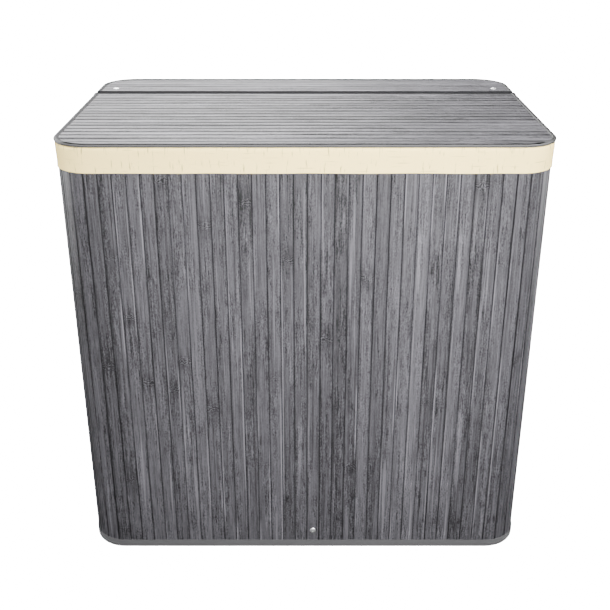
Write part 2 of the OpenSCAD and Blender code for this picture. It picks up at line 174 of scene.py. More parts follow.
class Nodes:
    """A short way to write a material's node tree."""

    def __init__(self, name, material=None):
        self.mat = material or bpy.data.materials.new(name)
        self.mat.use_nodes = True
        self.tree = self.mat.node_tree
        self.bsdf = next(n for n in self.tree.nodes if n.type == "BSDF_PRINCIPLED")

    def put(self, kind, **settings):
        """Adds a node; inputs is a dict of values or sockets for its inputs."""
        node = self.tree.nodes.new("ShaderNode" + kind)
        inputs = settings.pop("inputs", {})
        for k, v in settings.items():
            setattr(node, k, v)
        for k, v in inputs.items():
            self.set(node.inputs[k], v)
        return node

    def set(self, socket, value):
        """Links value to the socket, or makes it the socket's own value."""
        if isinstance(value, bpy.types.NodeSocket):
            self.tree.links.new(value, socket)
        else:
            socket.default_value = value

    def math(self, op, a, b=0.0, c=0.0, clamp=False):
        node = self.put("Math", operation=op, use_clamp=clamp)
        for i, v in enumerate((a, b, c)):
            self.set(node.inputs[i], v)
        return node.outputs[0]

    def attr(self, name):
        return self.put("Attribute", attribute_name=name).outputs["Fac"]

    def split(self, vector):
        node = self.put("SeparateXYZ", inputs={0: vector})
        return node.outputs[0], node.outputs[1], node.outputs[2]

    def join(self, x=0.0, y=0.0, z=0.0):
        node = self.put("CombineXYZ")
        for i, v in enumerate((x, y, z)):
            self.set(node.inputs[i], v)
        return node.outputs[0]

    def noise(self, vector, scale=1.0, detail=2.0, rough=0.5):
        return self.put("TexNoise", inputs={"Vector": vector, "Scale": scale, "Detail": detail,
                                            "Roughness": rough}).outputs["Fac"]

    def remap(self, value, a, b, low=0.0, high=1.0):
        """Goes smoothly from low to high as value goes from a to b."""
        node = self.put("MapRange", interpolation_type="SMOOTHSTEP",
                        inputs={"Value": value, "From Min": a, "From Max": b,
                                "To Min": low, "To Max": high})
        return node.outputs[0]

    def mix(self, factor, a, b, blend="MIX"):
        node = self.put("Mix", data_type="RGBA", blend_type=blend)
        self.set(node.inputs["Factor"], factor)
        self.set(node.inputs["A"], a)
        self.set(node.inputs["B"], b)
        return node.outputs["Result"]

    def tinted(self, value, color):
        """The colour, made lighter or darker by value."""
        parts = {name: self.math("MULTIPLY", value, part)
                 for name, part in zip(("Red", "Green", "Blue"), color)}
        return self.put("CombineColor", inputs=parts).outputs[0]

    def bump(self, height, strength, distance, normal=None):
        node = self.put("Bump", inputs={"Height": height, "Strength": strength,
                                        "Distance": distance})
        if normal is not None:
            self.set(node.inputs["Normal"], normal)
        return node.outputs[0]

    def uv(self):
        return self.put("UVMap").outputs[0]

    def spot(self):
        """The place in the frame, since every piece's object is at the origin."""
        return self.put("TexCoord").outputs["Object"]

    def finish(self, color, rough, normal=None, **inputs):
        """Sets the surface and gives the material; other inputs are named with underscores."""
        self.set(self.bsdf.inputs["Base Color"], color)
        self.set(self.bsdf.inputs["Roughness"], rough)
        if normal is not None:
            self.set(self.bsdf.inputs["Normal"], normal)
        for k, v in inputs.items():
            self.set(self.bsdf.inputs[k.replace("_", " ")], v)
        return self.mat


class SlatNodes(Nodes):
    """Nodes for slats. UV runs along each slat and across it, in metres; scale widens its marks."""

    def __init__(self, name, scale):
        super().__init__(name)
        self.along, self.across, _ = self.split(self.uv())
        self.seed = self.attr("slat_seed")
        self.edge = self.math("SUBTRACT", self.attr("slat_half"),
                              self.math("ABSOLUTE", self.across))
        self.scale = scale

    def streaks(self, wide, long, detail=2.0, shift=0.0):
        """Noise drawn out along the slats, different on each of them."""
        place = self.join(self.math("MULTIPLY_ADD", self.across, 1 / (wide * self.scale),
                                    self.math("MULTIPLY", self.seed, 37.0)),
                          self.math("MULTIPLY_ADD", self.along, 1 / long, shift),
                          self.math("MULTIPLY", self.seed, 11.0))
        return self.noise(place, 1.0, detail, 0.6)


def growth_rings(n, value):
    """A dark torn smudge with pale wavy lines at each knot: the new lightness, and how high."""
    wobble = n.math("MULTIPLY", n.math("SUBTRACT", n.streaks(5 * MM, 12 * MM, 1.0, 31.0), 0.5),
                    14 * MM)
    torn = n.remap(n.streaks(3 * MM, 20 * MM, 3.0, 41.0), 0.40, 0.56)
    high = 0.0

    def hump(x, width):
        return n.math("EXPONENT", n.math("MULTIPLY", n.math("POWER", n.math(
            "DIVIDE", x, width), 2.0), -1.0))
    for knot in ("knot_a", "knot_b"):
        off = n.math("SUBTRACT", n.along, n.attr(knot))
        wavy = n.math("ADD", off, wobble)
        strength = n.attr(knot + "_strength")
        smudge = n.math("MULTIPLY", n.math("MULTIPLY", hump(off, 17 * MM), torn), strength)
        value = n.math("MULTIPLY", value, n.math("SUBTRACT", 1.0, n.math(
            "MULTIPLY", smudge, 0.55)))
        wave = n.math("SINE", n.math("MULTIPLY", wavy, TAU / (3.4 * MM)))
        ring = n.math("MULTIPLY", n.math("MULTIPLY", hump(wavy, 5 * MM), wave), strength)
        value = n.math("MULTIPLY_ADD", ring, 0.6, value)
        high = n.math("ADD", ring, high)
    return value, high


def slat_edges(n, value, seam_w, joint):
    """Painted highlights along the arrises, and dark joints that are the slats' stained edges with
    painted shade, different on each side of each slat.
    """
    side = n.math("SIGN", n.across)
    luck = n.noise(n.join(n.math("MULTIPLY", side, 5.3), n.math("MULTIPLY", n.seed, 71.0),
                          n.math("MULTIPLY", n.along, 1 / 0.22)), 1.0, 1.0)
    # a painted highlight: a pale band along the eased edge, on one side or the other of each slat
    painted_highlight = n.math("MULTIPLY", n.remap(n.edge, seam_w + 1.3 * MM, seam_w + 0.5 * MM), n.math(
        "MULTIPLY", n.remap(n.edge, seam_w * 0.3, seam_w), n.remap(luck, 0.58, 0.68)))
    value = n.math("MULTIPLY_ADD", painted_highlight, 1.5, value)
    # the joints' darkness: the slats' stained edges together with painted shade
    joint_stain_and_shade = n.remap(luck, 0.62, 0.36, joint, 0.16)
    return n.math("MULTIPLY", value, n.math("MAXIMUM", n.remap(n.edge, 0.1 * MM, seam_w), joint_stain_and_shade))


def slat_material(name, level, contrast, tones, scale, seam_w, joint, crown, shine, spots=1.0,
                  fold=False):
    """Grey stained bamboo. level is its lightness, contrast the strength of its marks, tones the
    difference from slat to slat, seam_w the width of the shaded edge, joint the lightness of the
    palest joints, crown the drop of the face towards them and spots the strength of the pores.
    fold paints shade on the slats beside the lid's fold, where the groove is in shadow."""
    n = SlatNodes(name, scale)

    def add(value, amount, by):
        return n.math("MULTIPLY_ADD", amount, by * contrast, value)

    fine = n.streaks(1.7 * MM, 42 * MM, 3.0)
    lines = n.streaks(3.0 * MM, 230 * MM, 2.0, 3.0)
    patch = n.streaks(9 * MM, 45 * MM, 3.0, 7.0)
    grit = n.streaks(1.4 * MM, 3.0 * MM, 2.0, 17.0)
    split_line = n.streaks(3.2 * MM, 420 * MM, 1.0, 13.0)
    pore = n.streaks(1.4 * MM, 18 * MM, 2.0, 23.0)
    pale = n.streaks(2.6 * MM, 30 * MM, 2.0, 29.0)
    bright = n.streaks(4.5 * MM, 260 * MM, 1.0, 37.0)
    rough_part = n.remap(n.streaks(10 * MM, 90 * MM, 1.0, 43.0), 0.42, 0.56, 0.35, 1.0)
    value = n.math("MULTIPLY_ADD", n.attr("slat_tone"), tones, 1.0)
    value = add(value, n.math("SUBTRACT", fine, 0.5), 1.15)
    value = add(value, n.math("SUBTRACT", lines, 0.5), 1.1)
    value = add(value, n.math("SUBTRACT", patch, 0.5), 0.2)
    value = add(value, n.math("MULTIPLY", n.math("SUBTRACT", grit, 0.5), rough_part), 1.7 * spots)
    value = add(value, n.math("MULTIPLY", n.remap(pore, 0.53, 0.60), rough_part), -0.42 * spots)
    value = add(value, n.math("MULTIPLY", n.remap(pale, 0.60, 0.70), rough_part), 0.40 * spots)
    value = add(value, n.remap(bright, 0.64, 0.72), 0.55)
    value = n.math("MULTIPLY", value, n.remap(split_line, 0.32, 0.37, 0.62, 1.0))
    value, ring_high = growth_rings(n, value)
    value = slat_edges(n, value, seam_w, joint)
    # painted shade: the slats darken towards the lid's fold, standing in for the groove's shadow
    if fold:
        off = n.math("ABSOLUTE", n.math("SUBTRACT", n.split(n.spot())[1], FOLD_Y))
        value = n.math("MULTIPLY", value, n.remap(off, FOLD_GAP / 2 + 0.5 * MM,
                                                  FOLD_GAP / 2 + 4 * MM, 0.2, 1.0))
    base = n.tinted(n.math("MAXIMUM", value, 0.10), (level * 0.985, level * 0.955, level * 1.06))
    height = n.math("MULTIPLY_ADD", fine, 0.6, n.math("MULTIPLY", lines, 0.8))
    height = n.math("MULTIPLY_ADD", ring_high, 0.5, height)
    height = n.math("MULTIPLY_ADD", pore, -0.4, height)
    crowned = n.bump(n.remap(n.edge, 0.0, 3.6 * MM), 1.0, crown)
    return n.finish(base, n.remap(lines, 0.3, 0.7, 0.58, 0.40),
                    n.bump(height, 0.6, 0.25 * MM, crowned), Specular_IOR_Level=shine)


def weave_material(name, color, thread, contrast=0.25, slub=0.0, rough=0.9, bump=0.5,
                   sheen=0.15, shine=0.2, bag=None):
    """Plain woven cloth. UV is in metres; thread is the distance between threads, slub the
    darkness of its thick threads, and bag the colour of the part below the rim, where V is more
    than a cuff's length or less than zero."""
    n = Nodes(name)
    u, v, _ = n.split(n.uv())
    k = TAU / thread / 2
    nudge = n.noise(n.join(u, v), 60.0, 2.0)
    a = n.math("SINE", n.math("MULTIPLY_ADD", u, k, n.math("MULTIPLY", nudge, 2.0)))
    b = n.math("SINE", n.math("MULTIPLY_ADD", v, k, n.math("MULTIPLY", nudge, 2.0)))
    weave = n.math("MULTIPLY", n.math("ABSOLUTE", a), n.math("ABSOLUTE", b))
    cloud = n.noise(n.join(u, v), 18.0, 3.0)
    fuzz = n.noise(n.join(u, v), 1500.0, 2.0)
    value = n.math("MULTIPLY_ADD", n.math("SUBTRACT", weave, 0.45), contrast, 1.0)
    value = n.math("MULTIPLY_ADD", n.math("SUBTRACT", cloud, 0.5), contrast * 0.6, value)
    value = n.math("MULTIPLY_ADD", n.math("SUBTRACT", fuzz, 0.5), contrast * 0.8, value)
    height = n.math("MULTIPLY_ADD", fuzz, 0.3, weave)
    if slub:
        up = n.noise(n.join(n.math("MULTIPLY", u, 1 / (2.4 * MM)),
                            n.math("MULTIPLY", v, 1 / (20 * MM))), 1.0, 2.0)
        side = n.noise(n.join(n.math("MULTIPLY", u, 1 / (35 * MM)),
                              n.math("MULTIPLY", v, 1 / (2.0 * MM))), 1.0, 2.0)
        thick = n.math("MAXIMUM", n.remap(up, 0.60, 0.74), n.math(
            "MULTIPLY", n.remap(side, 0.62, 0.76), 0.6))
        value = n.math("MULTIPLY_ADD", thick, -slub, value)
        height = n.math("MULTIPLY_ADD", thick, 1.2, height)
    tint = n.tinted(value, color)
    if bag:
        below = n.math("MAXIMUM", n.remap(v, 40 * MM, 46 * MM), n.remap(v, -2 * MM, -6 * MM))
        tint = n.mix(below, tint, n.tinted(value, bag))
    return n.finish(tint, rough, n.bump(height, bump, thread * 0.4),
                    Specular_IOR_Level=shine, Sheen_Weight=sheen, Sheen_Roughness=0.5)


def lid_tape_material(name, color):
    """The lid's tape, with painted light and shade: a painted shadow along its inner edge at the
    left, painted shade on its top and faces at the front and back, the left side painted lighter,
    the right side painted darker with a painted highlight along its inner edge.
    V starts at the tape's inner edge on top of the lid."""
    mat = weave_material(name, color, 0.7 * MM, 0.25, sheen=0.0, shine=0.0)
    n = Nodes(name, mat)
    x, y, _ = n.split(n.spot())
    v = n.split(n.uv())[1]
    left = n.remap(x, -0.285, -0.300)
    right = n.remap(x, 0.285, 0.300)
    ends = n.math("MAXIMUM", n.remap(y, -0.186, -0.193), n.remap(y, 0.186, 0.193))
    seam = n.remap(v, 3.6 * MM, 3.0 * MM)
    top = n.remap(v, 6.4 * MM, 5.6 * MM)
    face = n.remap(v, 6.2 * MM, 7.2 * MM)
    # painted shadow of the raised tape along its inner edge on the left, painted shade on its top
    # at the front and back, and the left side painted lighter
    left_seam_shadow = n.math("MULTIPLY", n.math("MULTIPLY", seam, left), 0.75)
    end_top_shade = n.math("MULTIPLY", n.math("MULTIPLY", top, ends), 0.97)
    left_side_light = n.math("MULTIPLY_ADD", n.math("SUBTRACT", left, ends, clamp=True), 0.6, 1.0)
    value = n.math("SUBTRACT", left_side_light, n.math("MAXIMUM", left_seam_shadow, end_top_shade))
    # a painted highlight along the inner edge on the right side
    painted_highlight = n.math("MULTIPLY", n.remap(v, 2.4 * MM, 1.6 * MM),
                  n.math("SUBTRACT", right, ends, clamp=True))
    value = n.math("MULTIPLY_ADD", painted_highlight, 0.7, value)
    # painted shade on the front and back faces and on the whole right side
    value = n.math("MULTIPLY_ADD", n.math("MULTIPLY", face, ends), -0.4, value)
    value = n.math("MULTIPLY_ADD", right, -0.5, value)
    tint = n.bsdf.inputs["Base Color"].links[0].from_socket
    n.set(n.bsdf.inputs["Base Color"], n.mix(1.0, tint, n.tinted(value, (1, 1, 1)), "MULTIPLY"))
    return mat


def metal_material(name, color, rough):
    """Plated or bare metal with fine scratches and dull clouds."""
    n = Nodes(name)
    p = n.spot()
    scratch = n.noise(p, 900.0, 3.0, 0.6)
    dull = n.noise(p, 120.0, 3.0, 0.6)
    base = n.mix(n.remap(dull, 0.35, 0.7), (*color, 1.0), (*(c * 0.86 for c in color), 1.0))
    return n.finish(base, n.remap(dull, 0.3, 0.7, rough, rough + 0.18),
                    n.bump(scratch, 0.15, 0.05 * MM), Metallic=1.0)


def board_material(name):
    """Brown pressed fibre."""
    n = Nodes(name)
    p = n.spot()
    fibre = n.noise(p, 1400.0, 4.0, 0.65)
    cloud = n.noise(p, 40.0, 3.0, 0.6)
    base = n.mix(n.remap(fibre, 0.3, 0.7), (0.30, 0.20, 0.12, 1), (0.42, 0.30, 0.19, 1))
    base = n.mix(n.math("MULTIPLY", n.remap(cloud, 0.4, 0.7), 0.5), base, (0.33, 0.23, 0.14, 1))
    return n.finish(base, 0.85, n.bump(fibre, 0.4, 0.1 * MM))


WALL_SLATS = slat_material("wall bamboo", 0.0445, 1.4, 0.22, 1.0, 1.0 * MM, 0.8, 0.4 * MM, 0.25)
LID_SLATS = slat_material("lid bamboo", 0.075, 1.7, 0.18, 2.8, 4.2 * MM, 0.72, 1.2 * MM, 0.2,
                          0.9, True)
# The rear strip's bamboo is the lid's bamboo set lighter: painted sheen, brighter towards the back
# of the lid.
LIT_STRIP_SLATS = slat_material("rear strip bamboo", 0.112, 1.35, 0.14, 2.8, 4.2 * MM, 0.72,
                            1.2 * MM, 0.2, 0.9, True)
# The backing is the dark charcoal cloth made nearly black, partly as painted shade in the lid's
# fold where it shows.
BACKING = weave_material("backing cloth", (0.013, 0.013, 0.014), 0.8 * MM, 0.35, sheen=0.0,
                         shine=0.05)
LINING = weave_material("lid lining", (0.10, 0.10, 0.105), 0.7 * MM, 0.3)
TAPE = weave_material("bottom tape", (0.055, 0.055, 0.057), 0.7 * MM, 0.35, sheen=0.05)
LID_TAPE = lid_tape_material("lid tape", (0.105, 0.105, 0.106))
WEBBING = weave_material("webbing", (0.07, 0.07, 0.073), 1.6 * MM, 0.5)
LINER = weave_material("liner cloth", (0.90, 0.70, 0.265), 0.62 * MM, 0.16, slub=0.6,
                       bump=0.35, sheen=0.0, bag=(0.86, 0.78, 0.60))
NICKEL = metal_material("nickel", (0.97, 0.97, 0.97), 0.36)
WIRE = metal_material("steel wire", (0.45, 0.45, 0.46), 0.4)
BOARD = board_material("fibreboard")


# ---- Slats ----

def slat_profile(w, t):
    """Points (outwards, across) round a slat's section, with a slightly crowned face."""
    h = w / 2
    return [(0, -h), (t * 0.62, -h), (t * 0.85, -h + 0.35 * MM), (t * 0.97, -h + 1.1 * MM),
            (t, -h + 2.6 * MM), (t, 0), (t, h - 2.6 * MM), (t * 0.97, h - 1.1 * MM),
            (t * 0.85, h - 0.35 * MM), (t * 0.62, h), (0, h)]


def add_slat(bm, layers, rng, w, t, length, place, steps):
    """Adds one slat of the width w and thickness t, with its own marks and a little waviness.
    place(along, out, across) puts a point of it in the frame."""
    profile = slat_profile(w, t)
    count = len(profile)
    uv = bm.loops.layers.uv.verify()
    made = bmesh.ops.create_grid(bm, x_segments=steps, y_segments=count, size=0.5)["verts"]
    knots = [rng.uniform(0.02, 0.32) * 1.2]
    knots.append(knots[0] + rng.uniform(0.22, 0.34))
    values = {"slat_seed": rng.random() * 10, "slat_tone": rng.gauss(0, 0.55), "slat_half": w / 2,
              "knot_a": knots[0], "knot_b": knots[1],
              "knot_a_strength": rng.choice([0, 0.15, 0.4, 1]),
              "knot_b_strength": rng.choice([0, 0.15, 0.4, 1])}
    values["slat_tone"] = max(-1.2, min(1.2, values["slat_tone"]))
    wave = rng.uniform(0, TAU)
    where = {}
    for v in made:
        a = round((v.co.x + 0.5) * steps)
        b = round((v.co.y + 0.5) * count) % count
        out, across = profile[b]
        along = a / steps * length
        where[v] = (along, across)
        swell = sum(s * math.exp(-((along - k) / 0.006) ** 2)
                    for k, s in ((knots[0], values["knot_a_strength"]),
                                 (knots[1], values["knot_b_strength"])))
        lift = (0.06 * math.sin(along * 21 + wave) - 0.06 + 0.08 * swell) * MM if out else 0
        v.co = place(along, out + lift, across)
        for key, layer in layers.items():
            v[layer] = values[key]
    for face in {f for v in made for f in v.link_faces}:
        for loop in face.loops:
            loop[uv].uv = where[loop.vert]
    bmesh.ops.remove_doubles(bm, verts=made, dist=1e-6)
    kept = [v for v in made if v.is_valid]
    rim = {e for v in kept for e in v.link_edges if e.is_boundary}
    ends = bmesh.ops.holes_fill(bm, edges=list(rim), sides=0)["faces"]
    for face in ends:
        for loop in face.loops:
            loop[uv].uv = where[loop.vert]


def slat_layers(bm):
    """The values that each slat's material reads."""
    names = ("slat_seed", "slat_tone", "slat_half", "knot_a", "knot_b", "knot_a_strength",
             "knot_b_strength")
    return {k: bm.verts.layers.float.new(k) for k in names}


FACE = Ring(WALL_W - 2 * SLAT_T, WALL_D - 2 * SLAT_T, WALL_R - SLAT_T)   # behind the slats
SLAT_COUNT = round(FACE.length / WALL_PITCH)
PITCH = FACE.length / SLAT_COUNT
# The CAD node of each run of that ring
GROUPS = ["front_slats", "front_right_corner_slats", "right_slats", "back_right_corner_slats",
          "back_slats", "back_left_corner_slats", "left_slats", "front_left_corner_slats",
          "front_slats"]


def wall_slats():
    """Upright slats all round, kept in eight pieces."""
    steps = 44
    rng = random.Random(17)
    sets = {}
    for i in range(SLAT_COUNT):
        s = (FIRST_JOINT + PITCH * (i + 0.5)) % FACE.length
        run, rest = 0, s
        while run < 8 and rest >= FACE.runs[run]:
            rest -= FACE.runs[run]
            run += 1
        x, y, nx, ny = FACE.at(s)
        group = GROUPS[run]
        if group not in sets:
            bm = bmesh.new()
            sets[group] = (bm, slat_layers(bm))
        bm, layers = sets[group]

        def place(along, out, across, x=x, y=y, nx=nx, ny=ny):
            return Vector((x + nx * out - ny * across, y + ny * out + nx * across,
                           WALL_LOW + along))
        w = PITCH - rng.uniform(0.25, 0.7) * MM
        t = SLAT_T - rng.uniform(0, 0.12) * MM
        add_slat(bm, layers, rng, w, t, WALL_TOP - WALL_LOW, place, steps)
    for group, (bm, _) in sets.items():
        piece = finish_mesh(bm, "wood_" + group, ROOT, WALL_SLATS, smooth=False, weld=0)
        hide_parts(group)


def lid_half_width(y, inset):
    """Half the lid's width at y, inside an inset from its outline."""
    r = LID_R - inset
    beyond = max(0.0, abs(y) - (LID_D / 2 - inset - r))
    return LID_W / 2 - inset - r + math.sqrt(max(r * r - beyond * beyond, 0.0))


def lid_slats(name, front, back, body, seed):
    """Slats from side to side, each cut to the lid's outline."""
    steps = 48
    rng = random.Random(seed)
    count = round((back - front) / LID_PITCH)
    pitch = (back - front) / count
    bm = bmesh.new()
    layers = slat_layers(bm)
    wide = LID_W - 2 * LID_EDGE
    for i in range(count):
        mid = front + pitch * (i + 0.5)

        def place(along, out, across, mid=mid):
            y = mid + across
            half = lid_half_width(y, LID_EDGE)
            return Vector(((along / wide * 2 - 1) * half, y, BACKING_TOP + out))
        add_slat(bm, layers, rng, pitch - rng.uniform(0.25, 0.6) * MM,
                 SLAT_T - rng.uniform(0, 0.1) * MM, wide, place, steps)
    bamboo = LID_SLATS if body == FLAP else LIT_STRIP_SLATS
    piece = finish_mesh(bm, "wood_" + name, body, bamboo, smooth=False, weld=0)
    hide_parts(name)


wall_slats()
lid_slats("lid_flap_slats", -LID_D / 2 + LID_EDGE, FLAP_BACK, FLAP, 5)
lid_slats("lid_strip_slats", STRIP_FRONT, LID_D / 2 - LID_EDGE, ROOT, 6)

# ---- Cloth ----

OUTER = Ring(WALL_W, WALL_D, WALL_R)
LID = Ring(LID_W, LID_D, LID_R)


def bake(piece):
    """Applies the piece's modifiers."""
    bpy.context.view_layer.update()
    dg = bpy.context.evaluated_depsgraph_get()
    mesh = bpy.data.meshes.new_from_object(piece.evaluated_get(dg), preserve_all_data_layers=True,
                                           depsgraph=dg)
    piece.modifiers.clear()
    piece.data = mesh


def thicken(piece, t):
    """Gives a sheet the thickness t, half of it to each side."""
    solid = piece.modifiers.new("thickness", "SOLIDIFY")
    solid.thickness, solid.offset = t, 0.0
    solid.use_even_offset = True
    bake(piece)


def cloth(name, nu, nv, place, uv_size, t, body, material, *replaced):
    """A sheet of cloth laid out by place(u, v), given its thickness."""
    bm = bmesh.new()
    add_grid(bm, nu, nv, place, uv_size)
    piece = finish_mesh(bm, name, None, material)
    thicken(piece, t)
    if body:
        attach(piece, body)
    if replaced:
        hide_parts(*replaced)
    return piece


def ripple(x, y, size, seed=0.0):
    """Smooth noise from -1 to 1, with waves of about the given size."""
    return noise.noise(Vector((x / size, y / size, seed)))


def sweep(name, path, profile, steps, closed, body, material, replaced):
    """A closed section (outwards, up) carried along path(u) -> (point, outwards). closed says
    that the path is."""
    count = len(profile)
    lengths = [0.0]
    for i in range(count):
        a, b = profile[i], profile[(i + 1) % count]
        lengths.append(lengths[-1] + math.hypot(b[0] - a[0], b[1] - a[1]))
    bm = bmesh.new()
    uv = bm.loops.layers.uv.verify()
    made = bmesh.ops.create_grid(bm, x_segments=steps, y_segments=count, size=0.5)["verts"]
    where, index = {}, {}
    total = (path(0.5)[0] - path(0.5 - 0.5 / steps)[0]).length * steps * 2
    for v in made:
        a = round((v.co.x + 0.5) * steps)
        b = round((v.co.y + 0.5) * count)
        where[v] = (a / steps * total, lengths[b])
        index[v] = (a, b)
    for face in {f for v in made for f in v.link_faces}:
        for loop in face.loops:
            loop[uv].uv = where[loop.vert]
    for v, (a, b) in index.items():
        point, out = path(a / steps)
        o, z = profile[b % count]
        v.co = Vector((point.x + out.x * o, point.y + out.y * o, point.z + z))
    bmesh.ops.remove_doubles(bm, verts=bm.verts, dist=1e-6)
    if not closed:
        rim = [e for e in bm.edges if e.is_boundary]
        bmesh.ops.holes_fill(bm, edges=rim, sides=0)
    piece = finish_mesh(bm, name, body, material)
    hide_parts(replaced)


def along(ring, start, end, z=0.0, sway=0.0, seed=0.0):
    """A path along a ring from start to end, with a little sway outwards."""
    def path(u):
        s = start + (end - start) * u
        x, y, nx, ny = ring.at(s)
        off = sway * ripple(x, y, 0.02, seed)
        return Vector((x + nx * off, y + ny * off, z)), Vector((nx, ny, 0))
    return path


def side_place(y):
    """How far along the lid's outline its right side reaches y."""
    return LID.runs[0] + LID.runs[1] + y - (-LID_D / 2 + LID_R)


def lid_tapes():
    """The folded tape round each part of the lid, highest in the middle of its top."""
    profile = [(-6.4, -0.36), (-5.9, -0.12), (-4.8, 0.14), (-3.4, 0.42), (-2.0, 0.46),
               (-1.1, 0.22), (-0.4, -0.35), (0.0, -1.3)]
    lower = [(0.0, 1.7), (-0.4, 0.7), (-1.2, 0.1), (-2.4, -0.12), (-5.9, 0.0), (-6.0, 0.25),
             (-5.8, 0.38), (-0.45, 0.4)]
    section = [(o * MM, TOP + z * MM) for o, z in profile]
    section += [(o * MM, LID_LOW + z * MM) for o, z in lower]
    section += [(-0.45 * MM, SLAT_TOP + 0.02 * MM), (-6.2 * MM, SLAT_TOP + 0.02 * MM)]
    end = side_place(FLAP_BACK)
    sweep("flap_tape", along(LID, -end, end, 0, 0.12 * MM, 3), section, 320, False, FLAP,
          LID_TAPE, "lid_flap_tape")
    end = side_place(STRIP_FRONT)
    sweep("strip_tape", along(LID, end, LID.length - end, 0, 0.12 * MM, 5), section, 220, False,
          ROOT, LID_TAPE, "lid_strip_tape")


def bottom_tape():
    """The tape folded round the wall's bottom edge."""
    outer = [(0.55, 12.0), (0.8, 12.35), (1.15, 12.3), (1.35, 11.7), (1.3, 10.8), (1.12, 10.2),
             (1.32, 9.4), (1.38, 6.0), (1.36, 3.0), (1.2, 1.2), (0.75, 0.3), (0.0, 0.02)]
    inner = [(-2.4, 0.0), (-2.9, 0.3), (-3.1, 1.0), (-3.1, 11.6), (-2.8, 12.0), (-2.4, 11.6),
             (-2.35, 0.85), (0.5, 0.85)]
    section = [(o * MM, z * MM) for o, z in outer + inner]
    sweep("bottom_binding", along(OUTER, 0, OUTER.length, 0, 0.15 * MM, 9), section, 380, True,
          ROOT, TAPE, "bottom_tape")


def lid_cloths():
    """The backing cloth that is also the hinge, and the lining under each part of the lid."""
    edge = LID_D / 2 - LID_EDGE
    rows = [(0.0, -edge), (0.12, -edge + 0.014), (0.2, -edge + 0.047), (0.35, FLAP_BACK),
            (0.75, STRIP_FRONT), (0.85, edge - 0.047), (0.93, edge - 0.014), (1.0, edge)]

    def row_y(v):
        for (a, ya), (b, yb) in zip(rows, rows[1:]):
            if v <= b:
                return ya + (yb - ya) * (v - a) / (b - a)
        return edge

    middle = (BACKING_TOP + BOARD_TOP) / 2

    def backing(u, v):
        y = row_y(v)
        half = lid_half_width(y, LID_EDGE)
        inside = min(y - FLAP_BACK, STRIP_FRONT - y)
        z = middle
        if inside > 0:
            deep = min(1.0, inside / (4 * MM))
            half += 3.0 * MM * deep
            x = (2 * u - 1) * half
            z -= deep * (0.30 + 0.22 * ripple(x, y, 0.011, 2.0)) * MM
        return Vector(((2 * u - 1) * half, y, z))
    piece = cloth("lid_backing", 150, 60, backing, (LID_W, LID_D), LID_CLOTH_T * 0.96, None,
                  BACKING, "lid_strip_cloth", "lid_flap_cloth")
    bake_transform(piece)

    under = (LINING_TOP + LINING_LOW) / 2
    for name, front, back, body, node, fold_end in (
            ("flap_lining", -edge, FLAP_BACK, FLAP, "lid_flap_lining", 1),
            ("strip_lining", STRIP_FRONT, edge, ROOT, "lid_strip_lining", 0)):
        def lining(u, v, front=front, back=back):
            y = front + (back - front) * v
            z = under + 0.05 * MM * ripple(u * 3, v, 0.2, 4.0)
            return Vector(((2 * u - 1) * lid_half_width(y, LID_EDGE), y, z))
        nv = max(12, round((back - front) / 0.008))
        piece = cloth(name, 70, nv, lining, (LID_W, back - front), LINING_T * 0.9, body, LINING,
                      node)
        # the lining's turned-up edge covers the board's edge along the fold; it is given the
        # near-black backing cloth, not the lining's grey, as painted shade on the fold's face
        y = back if fold_end else front
        sign = 1 if fold_end else -1

        def facing(u, v, y=y, sign=sign):
            z = LINING_LOW + (BOARD_TOP - LINING_LOW) * v
            half = lid_half_width(y, LID_EDGE)
            return Vector(((2 * u - 1) * half, y + sign * (0.25 + 0.1 * math.sin(v * 3)) * MM, z))
        cloth(name + "_edge", 60, 3, facing, (LID_W, BOARD_TOP - LINING_LOW), 0.35 * MM, body,
              BACKING)


def wall_backing():
    """The cloth behind the wall's slats, once round."""
    wide, high = OUTER.length, WALL_TOP - WALL_LOW

    def place(u, v):
        return OUTER.out(u * wide, -(SLAT_T + CLOTH_T / 2), WALL_LOW + high * v)
    piece = cloth("wall_backing", 240, 6, place, (wide, high), CLOTH_T * 0.95,
                  ROOT, BACKING, "wall_cloth")


def base_cloth():
    """The cloth under the base board, inside the bottom tape."""
    inset = 3.3 * MM
    hx, hy, r = WALL_W / 2 - inset, WALL_D / 2 - inset, WALL_R - inset

    def place(u, v):
        px, py = (2 * u - 1) * hx, (2 * v - 1) * hy
        # pull the corners of the rectangle in to the round of the wall
        ax, ay = max(0.0, abs(px) - (hx - r)) / r, max(0.0, abs(py) - (hy - r)) / r
        if ax > 0 and ay > 0:
            cx, cy = ax * math.sqrt(1 - ay * ay / 2), ay * math.sqrt(1 - ax * ax / 2)
            px = math.copysign(hx - r + cx * r, px)
            py = math.copysign(hy - r + cy * r, py)
        return Vector((px, py, (0.3 + 0.05 * ripple(px, py, 0.05, 8.0)) * MM))
    piece = cloth("base_cover", 64, 42, place, (WALL_W, WALL_D), 0.45 * MM, ROOT, BACKING,
                  "base_cloth")


